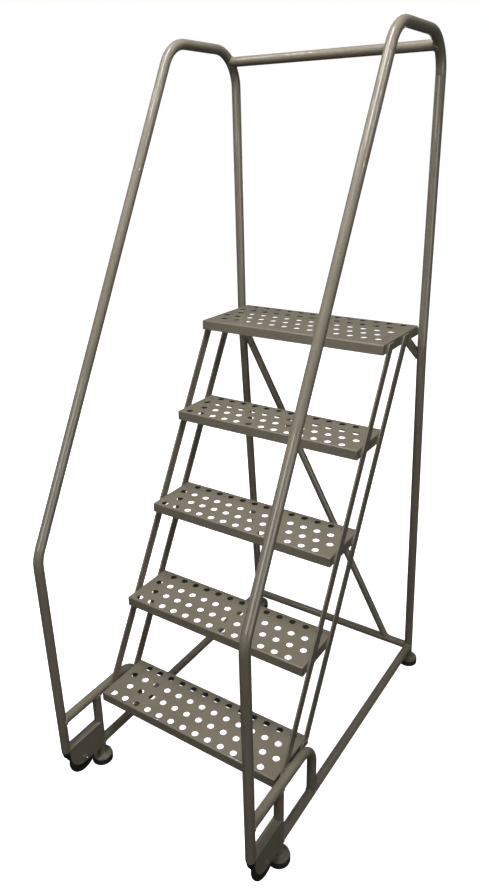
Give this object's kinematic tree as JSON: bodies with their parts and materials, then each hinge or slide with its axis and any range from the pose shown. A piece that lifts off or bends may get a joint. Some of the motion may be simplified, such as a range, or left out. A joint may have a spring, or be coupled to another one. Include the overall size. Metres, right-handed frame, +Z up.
{
  "type": "rolling warehouse ladder",
  "caption": "Welded tube stair ladder with perforated steps, bent handrails, rubber feet and rear-tilt wheels beside the front legs.",
  "frame": {"origin": "middle of the footprint box, on the floor", "axes": "+X to the climber's right when facing the steps, +Y away from the climber, towards the rear posts, +Z up"},
  "size_m": [0.698, 1.1238, 2.0505],
  "materials": {
    "frame_paint": "gloss enamel, warm grey, fine orange peel",
    "foot_rubber": "matte black rubber",
    "wheel_tyre": "matte black rubber",
    "plug_plastic": "moulded black plastic",
    "hub_plastic": "moulded dark grey plastic",
    "zinc_steel": "bright zinc plate"
  },
  "bodies": {
    "frame": {"step_1": "frame_paint", "step_2": "frame_paint", "step_3": "frame_paint", "step_4": "frame_paint", "top_step": "frame_paint", "left_side_rail": "frame_paint", "left_hoop": "frame_paint", "left_front_foot_post": "frame_paint", "left_base_tube": "frame_paint", "left_front_stringer": "frame_paint", "left_rear_stringer": "frame_paint", "left_platform_brace": "frame_paint", "left_wheel_bracket": "frame_paint", "left_leg_plug": "plug_plastic", "left_front_foot_disc": "frame_paint", "left_front_foot_pad": "foot_rubber", "left_rear_foot_disc": "frame_paint", "left_rear_foot_pad": "foot_rubber", "left_axle_bolt": "zinc_steel", "left_axle_nut": "zinc_steel", "left_axle_sleeve": "zinc_steel", "right_side_rail": "frame_paint", "right_hoop": "frame_paint", "right_front_foot_post": "frame_paint", "right_base_tube": "frame_paint", "right_front_stringer": "frame_paint", "right_rear_stringer": "frame_paint", "right_platform_brace": "frame_paint", "right_wheel_bracket": "frame_paint", "right_leg_plug": "plug_plastic", "right_front_foot_disc": "frame_paint", "right_front_foot_pad": "foot_rubber", "right_rear_foot_disc": "frame_paint", "right_rear_foot_pad": "foot_rubber", "right_axle_bolt": "zinc_steel", "right_axle_nut": "zinc_steel", "right_axle_sleeve": "zinc_steel", "grab_tube": "frame_paint", "floor_tube": "frame_paint", "rear_diagonal": "frame_paint"},
    "left_wheel": {"left_wheel_tyre": "wheel_tyre", "left_wheel_hub": "hub_plastic"},
    "right_wheel": {"right_wheel_tyre": "wheel_tyre", "right_wheel_hub": "hub_plastic"}
  },
  "joints": [
    {"name": "left_wheel_spin", "type": "hinge", "parent": "frame", "child": "left_wheel", "pos_m": [-0.3173, -0.47883, 0.08], "axis": [1, 0, 0], "continuous": true},
    {"name": "right_wheel_spin", "type": "hinge", "parent": "frame", "child": "right_wheel", "pos_m": [0.3173, -0.47883, 0.08], "axis": [1, 0, 0], "continuous": true}
  ]
}
